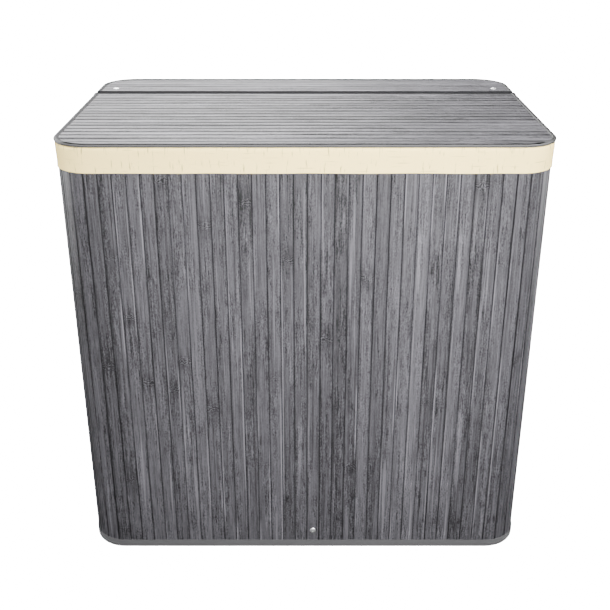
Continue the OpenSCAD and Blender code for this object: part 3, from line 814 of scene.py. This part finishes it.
def strap(name, line, to_frame, width, t, replaced, sag=0.0, material=WEBBING):
    """Webbing: a line of (a, b) points in one plane, spread over the width across it."""
    step = 4 * MM
    points, length = [], [0.0]
    for (a0, b0), (a1, b1) in zip(line, line[1:]):
        gap = math.hypot(a1 - a0, b1 - b0)
        parts = max(1, round(gap / step))
        for k in range(parts):
            points.append((a0 + (a1 - a0) * k / parts, b0 + (b1 - b0) * k / parts))
    points.append(line[-1])
    for (a0, b0), (a1, b1) in zip(points, points[1:]):
        length.append(length[-1] + math.hypot(a1 - a0, b1 - b0))
    nv = max(4, round(width / (2 * step)))
    bm = bmesh.new()
    uv = bm.loops.layers.uv.verify()
    n = len(points) - 1
    made = bmesh.ops.create_grid(bm, x_segments=n, y_segments=nv, size=0.5)["verts"]
    index = {v: (round((v.co.x + 0.5) * n), v.co.y) for v in made}
    for face in bm.faces:
        for loop in face.loops:
            i, across = index[loop.vert]
            loop[uv].uv = (length[i], (across + 0.5) * width)
    for v, (i, across) in index.items():
        a, b = points[i]
        wave = sag * ripple(length[i], across * width, 0.02)
        v.co = to_frame(a, b + wave, across * width)
    piece = finish_mesh(bm, name, None, material, weld=0)
    thicken(piece, t)
    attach(piece, ROOT)
    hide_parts(replaced)


def arc(cx, cy, r, start, end, steps):
    """Points on a circle, from one angle in degrees to another."""
    out = []
    for i in range(steps + 1):
        a = math.radians(start + (end - start) * i / steps)
        out.append((cx + r * math.cos(a), cy + r * math.sin(a)))
    return out


def webbing():
    """The loops that tie the rear strip to the hoop, and the cloth that holds the base board."""
    wire_x = WALL_W / 2 - WIRE_IN
    tail_x, tail_z, bend_r = 272 * MM, LINING_LOW - 0.35 * MM, 0.8 * MM
    for side, word in ((-1, "left"), (1, "right")):
        line = [(tail_x, tail_z)]
        line += arc(wire_x - TIE_R - bend_r, tail_z - bend_r, bend_r, 90, 0, 4)
        line += arc(wire_x, WIRE_Z, TIE_R, 180, 500, 22)
        strap("lid_tie_" + word, line,
              lambda a, b, c, side=side: Vector((side * a, RIVET_Y + c, b)),
              20 * MM, 0.45 * MM, "lid_loop_" + word)
    wall = -WALL_D / 2 + 2.2 * MM
    tab_x = FIRST_JOINT + PITCH / 2
    line = [(0.6, 43.8), (0.6, 14.2), (0.85, 13.2), (1.5, 12.4), (1.6, 11.4), (1.6, 5.6),
            (1.9, 4.7), (2.8, 4.42), (60, 4.4)]
    strap("base_tab_webbing", [(a * MM, b * MM) for a, b in line],
          lambda a, b, c: Vector((tab_x + c, wall + a, b)), 25 * MM, 1.1 * MM, "base_tab")
    wall_back = WALL_D / 2 - 3.2 * MM
    line = [(0.3, 43.8), (0.3, 4.9), (0.55, 4.3), (1.2, 4.1), (40, 4.1)]
    strap("base_hinge_cloth", [(a * MM, b * MM) for a, b in line],
          lambda a, b, c: Vector((c, wall_back - a, b)), WALL_W - 2 * WALL_R, 0.5 * MM,
          "base_hinge_strip", material=BACKING)
    seam = WALL_D / 2 - 2.58 * MM
    line = [(13.2 * MM, 0), (WIRE_Z - 12.9 * MM, 0)]
    strap("seam_tape", line, lambda a, b, c: Vector((c, seam + b, a)), 25 * MM, 0.6 * MM,
          "back_seam_tape", sag=0.1 * MM)


def hoop_sleeve():
    """The cloth tube round the hoop, bare at the ferrules and at the lid's ties."""
    ring = Ring(WALL_W - 2 * WIRE_IN, WALL_D - 2 * WIRE_IN, WALL_R - WIRE_IN)
    tie = ring.runs[0] + ring.runs[1] + RIVET_Y - (-ring.d / 2 + ring.r)
    bare, slot = 32 * MM, 12 * MM      # half of each gap in the sleeve
    spans = [(bare, tie - slot), (tie + slot, ring.length / 2 - bare),
             (ring.length / 2 + bare, ring.length - tie - slot),
             (ring.length - tie + slot, ring.length - bare)]
    section = arc(0, 0, 2.6 * MM, 0, 360, 12) + arc(0, 0, 2.15 * MM, 0, -360, 12)
    for i, (a, b) in enumerate(spans):
        sweep("hoop_sleeve_%d" % (i + 1), along(ring, a, b, WIRE_Z), section,
              round((b - a) / 0.006), False, ROOT, BACKING, "hoop_sleeve")


def liner():
    """The sewn liner: its cuff outside the wall, then over the rim and down into the bag."""
    nx, ny = 60, 38
    corner = OUTER.runs[0] + OUTER.runs[1] / 2
    far = OUTER.runs[0] + OUTER.runs[1] * 1.5 + OUTER.runs[2]
    stops = [(-corner, corner, nx), (corner, far, ny), (far, OUTER.length - far, nx),
             (OUTER.length - far, OUTER.length - corner, ny)]
    columns = []
    for a, b, count in stops:
        columns += [a + (b - a) * k / count for k in range(count)]
    total = len(columns)
    columns.append(columns[0] + OUTER.length)

    cuff = [(1.25, 31.4), (1.2, 30.6), (1.1, 28.5), (1.1, 25.0), (1.15, 21.0), (1.3, 17.0),
            (1.5, 13.0), (1.65, 9.0), (1.75, 6.0), (1.75, 3.6), (1.5, 2.2), (0.95, 1.15),
            (0.1, 0.65), (-1.2, 0.46), (-3.5, 0.46), (-5.8, 0.46), (-7.3, 0.5), (-8.0, 0.8),
            (-8.4, 1.4), (-8.55, 2.4), (-8.55, 5.0), (-8.55, 9.0)]
    rows = [(o * MM, RIM - z * MM) for o, z in cuff]
    outside, bag_rows = 10, 56         # rows that hang outside the wall, and in the bag
    top = rows[-1][1]
    rows += [(-BAG_IN, top + (BAG_LOW - top) * (k + 1) / bag_rows) for k in range(bag_rows)]
    down = [0.0]
    for (o0, z0), (o1, z1) in zip(rows, rows[1:]):
        down.append(down[-1] + math.hypot(o1 - o0, z1 - z0))
    bm = bmesh.new()
    uv = bm.loops.layers.uv.verify()
    last = len(rows) - 1
    made = bmesh.ops.create_grid(bm, x_segments=total, y_segments=last, size=0.5)["verts"]
    index = {v: (round((v.co.x + 0.5) * total), round((v.co.y + 0.5) * last)) for v in made}
    for face in bm.faces:
        for loop in face.loops:
            i, j = index[loop.vert]
            loop[uv].uv = (columns[i] + corner, down[j])
    for v, (i, j) in index.items():
        off, z = rows[j]
        s = columns[i % total]
        if j < outside:
            x, y, _, _ = OUTER.at(s)
            loose = 1 - j / outside
            off += 0.45 * MM * (0.5 + ripple(x + y * 1.3, z, 0.035, 12.0)) * (0.4 + loose)
            z += 0.5 * MM * ripple(x - y, 0, 0.06, 15.0) * max(0.0, 1 - j / 4)
        v.co = OUTER.out(s, off, z)

    # the floor of the bag is a grid whose edge is the bag's last row
    def edge(side, t):
        a, b, _ = stops[side]
        return OUTER.out(a + (b - a) * t, -BAG_IN, BAG_LOW)

    def floor(u, v):
        front, back = edge(0, u), edge(2, 1 - u)
        right, left = edge(1, v), edge(3, 1 - v)
        return (front * (1 - v) + back * v + left * (1 - u) + right * u
                - (edge(0, 0) * (1 - u) + edge(0, 1) * u) * (1 - v)
                - (edge(2, 1) * (1 - u) + edge(2, 0) * u) * v)
    add_grid(bm, nx, ny, floor, (WALL_W, -WALL_D))
    piece = finish_mesh(bm, "liner", None, LINER, weld=1e-5)
    settle(piece)
    thicken(piece, LINER_T)
    for side in (-1, 1):
        buttonhole(piece, side)
    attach(piece, ROOT)
    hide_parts("liner_bag", "liner_floor", "liner_cuff")


def buttonhole(piece, side):
    """Cuts the slot that a tie of the lid comes up through."""
    bm = bmesh.new()
    bmesh.ops.create_cube(bm, size=1.0)
    x = side * (WALL_W / 2 - WIRE_IN - TIE_R)
    bmesh.ops.scale(bm, vec=(1.2 * MM, 21 * MM, 4 * MM), verts=bm.verts)
    bmesh.ops.translate(bm, vec=(x, RIVET_Y, RIM - 0.4 * MM), verts=bm.verts)
    cutter = finish_mesh(bm, "cutter", smooth=False)
    cut = piece.modifiers.new("slot", "BOOLEAN")
    cut.operation, cut.object, cut.solver = "DIFFERENCE", cutter, "EXACT"
    bake(piece)
    bpy.data.objects.remove(cutter)


def collider(name, nu, nv, place):
    """A surface that the falling cloth comes to rest on."""
    bm = bmesh.new()
    add_grid(bm, nu, nv, place)
    obj = finish_mesh(bm, name)
    obj.modifiers.new("hit", "COLLISION")
    obj.collision.thickness_outer = 1 * MM
    obj.collision.cloth_friction = 8
    return obj


def settle(piece):
    """Lets the bag hang from the rim inside the wall, with a little cloth to spare."""
    frames = 60
    things = [collider("hold_wall", 160, 2, lambda u, v: OUTER.out(
                  u * OUTER.length, -5.2 * MM, 0.62 * v - 0.02)),
              collider("hold_floor", 2, 2, lambda u, v: Vector((u - 0.5, v - 0.5, 5.1 * MM)))]
    group = piece.vertex_groups.new(name="held")
    held = [v.index for v in piece.data.vertices
            if v.co.z > RIM - 8 * MM or past_slats(v.co) > 0]
    group.add(held, 1.0, "REPLACE")
    sim = piece.modifiers.new("hang", "CLOTH")
    sim.settings.quality = 5
    sim.settings.mass = 0.02
    sim.settings.air_damping = 4
    sim.settings.tension_stiffness = 25
    sim.settings.compression_stiffness = 12
    sim.settings.shear_stiffness = 8
    sim.settings.bending_stiffness = 0.35
    sim.settings.shrink_min = -0.012
    sim.settings.vertex_group_mass = "held"
    sim.collision_settings.distance_min = 0.8 * MM
    sim.collision_settings.use_self_collision = False
    sim.point_cache.frame_start, sim.point_cache.frame_end = 1, frames
    start = [v.co.copy() for v in piece.data.vertices]
    scene = bpy.context.scene
    for f in range(1, frames + 1):
        scene.frame_set(f)
    bake(piece)
    scene.frame_set(1)
    for obj in things:
        bpy.data.objects.remove(obj)
    calm(piece, start, held)
    keep_inside(piece, held)


def calm(piece, start, held):
    """Evens out the fall of the cloth, so that no point of it moves far from its neighbours."""
    furthest, lost, passes = 14 * MM, 0.15, 5    # a point that moved further than lost is put back
    held = set(held)
    moved = []
    for v in piece.data.vertices:
        step = v.co - start[v.index]
        if v.index in held or not step.length < lost:
            step = Vector()
        moved.append(step * min(1.0, furthest / max(step.length, 1e-9)))
    near = [[] for _ in moved]
    for e in piece.data.edges:
        a, b = e.vertices
        near[a].append(b)
        near[b].append(a)
    for _ in range(passes):
        moved = [step if i in held or not near[i] else
                 (step + sum((moved[j] for j in near[i]), Vector()) / len(near[i])) / 2
                 for i, step in enumerate(moved)]
    for v in piece.data.vertices:
        v.co = start[v.index] + moved[v.index]


def keep_inside(piece, held):
    """Lays the loose cloth against the hoop, the wall and the base board, never through them."""
    held = set(held)
    for v in piece.data.vertices:
        if v.index in held:
            continue
        # 4.7 mm inside the slats' outer face, and 8.3 mm beside the hoop
        near_hoop = max(0.0, min(1.0, (v.co.z - (WIRE_Z - 22 * MM)) / (14 * MM)))
        limit = -(4.7 + 3.6 * near_hoop) * MM
        past = past_slats(v.co)
        if past > limit:
            hx, hy = WALL_W / 2 - WALL_R, WALL_D / 2 - WALL_R
            dx, dy = abs(v.co.x) - hx, abs(v.co.y) - hy
            back = past - limit
            if dx > 0 and dy > 0:
                far = math.hypot(dx, dy)
                v.co.x -= math.copysign(back * dx / far, v.co.x)
                v.co.y -= math.copysign(back * dy / far, v.co.y)
            elif dx > dy:
                v.co.x -= math.copysign(back, v.co.x)
            else:
                v.co.y -= math.copysign(back, v.co.y)
        v.co.z = max(v.co.z, 5.5 * MM)


def past_slats(co):
    """How far a point is outside the slats' outer face; negative inside."""
    hx, hy, r = WALL_W / 2 - WALL_R, WALL_D / 2 - WALL_R, WALL_R
    dx, dy = abs(co.x) - hx, abs(co.y) - hy
    if dx > 0 and dy > 0:
        return math.hypot(dx, dy) - r
    return max(dx, dy) - r


lid_tapes()
bottom_tape()
lid_cloths()
wall_backing()
base_cloth()
webbing()
hoop_sleeve()
liner()


def plain_material(node):
    """The material of a CAD node, by its name."""
    for word, material in (("rivet", NICKEL), ("wire", WIRE), ("ferrule", WIRE), ("board", BOARD),
                           ("liner", LINER), ("tape", LID_TAPE)):
        if word in node:
            return material
    return BACKING


for node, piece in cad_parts.items():
    piece.data.materials.clear()
    piece.data.materials.append(plain_material(node))

# ---- Stage ----

FLOOR_GLOW = 24.0
WORLD = (0.0, 0.73)                    # the sky's strength below and above
# name, place, aim, size, power and spread in degrees
LIGHTS = (("key light", (0.26, -1.35, 1.05), (0.10, -0.2, 0.44), 0.6, 20, 74),
          ("back light", (-0.35, 1.3, 1.6), (-0.12, 0.25, 0.59), 1.2, 18, 80),
          ("left fill", (-1.6, 0.15, 0.55), (-0.3, -0.05, 0.3), 0.8, 34, 180),
          ("right fill", (1.6, 0.15, 0.55), (0.3, -0.05, 0.3), 0.8, 26, 180))


def stage():
    """A glowing white floor that lights nothing, a white sky and the lamps."""
    bm = bmesh.new()
    bmesh.ops.create_grid(bm, x_segments=1, y_segments=1, size=30.0)
    mesh = bpy.data.meshes.new("floor")
    bm.to_mesh(mesh)
    bm.free()
    floor = bpy.data.objects.new("floor", mesh)
    bpy.context.scene.collection.objects.link(floor)
    n = Nodes("floor paint")
    cloud = n.noise(n.spot(), 1.5, 2.0)
    paint = n.mix(n.math("MULTIPLY", cloud, 0.1), (0.88, 0.88, 0.88, 1), (0.84, 0.84, 0.84, 1))
    mesh.materials.append(n.finish(paint, 0.9, Emission_Color=(1, 1, 1, 1),
                                   Emission_Strength=FLOOR_GLOW, Specular_IOR_Level=0.0))
    floor.visible_diffuse = False
    floor.visible_glossy = False
    world = bpy.data.worlds.new("studio")
    bpy.context.scene.world = world
    world.use_nodes = True
    tree = world.node_tree
    sky = tree.nodes["Background"]
    view = tree.nodes.new("ShaderNodeTexCoord")
    split = tree.nodes.new("ShaderNodeSeparateXYZ")
    tree.links.new(view.outputs["Generated"], split.inputs[0])
    ramp = tree.nodes.new("ShaderNodeMapRange")
    ramp.interpolation_type = "SMOOTHSTEP"
    tree.links.new(split.outputs[2], ramp.inputs["Value"])
    for key, value in (("From Min", -0.5), ("From Max", 0.5), ("To Min", WORLD[0]),
                       ("To Max", WORLD[1])):
        ramp.inputs[key].default_value = value
    tree.links.new(ramp.outputs[0], sky.inputs["Strength"])
    sky.inputs["Color"].default_value = (1, 1, 1, 1)
    for name, place, aim, size, power, spread in LIGHTS:
        data = bpy.data.lights.new(name, "AREA")
        data.size = size
        data.energy = power
        data.spread = math.radians(spread)
        lamp = bpy.data.objects.new(name, data)
        lamp.location = place
        lamp.rotation_euler = (Vector(aim) - Vector(place)).to_track_quat("-Z", "Y").to_euler()
        bpy.context.scene.collection.objects.link(lamp)


def camera():
    """The view from in front, a little above the lid."""
    data = bpy.data.cameras.new("camera")
    data.lens = 55.27
    data.sensor_width = 36.0
    cam = bpy.data.objects.new("camera", data)
    cam.location = (0.0002, -1.2824, 0.8770)
    cam.rotation_euler = (math.radians(65.49), 0, 0)
    bpy.context.scene.collection.objects.link(cam)
    bpy.context.scene.camera = cam


stage()
camera()
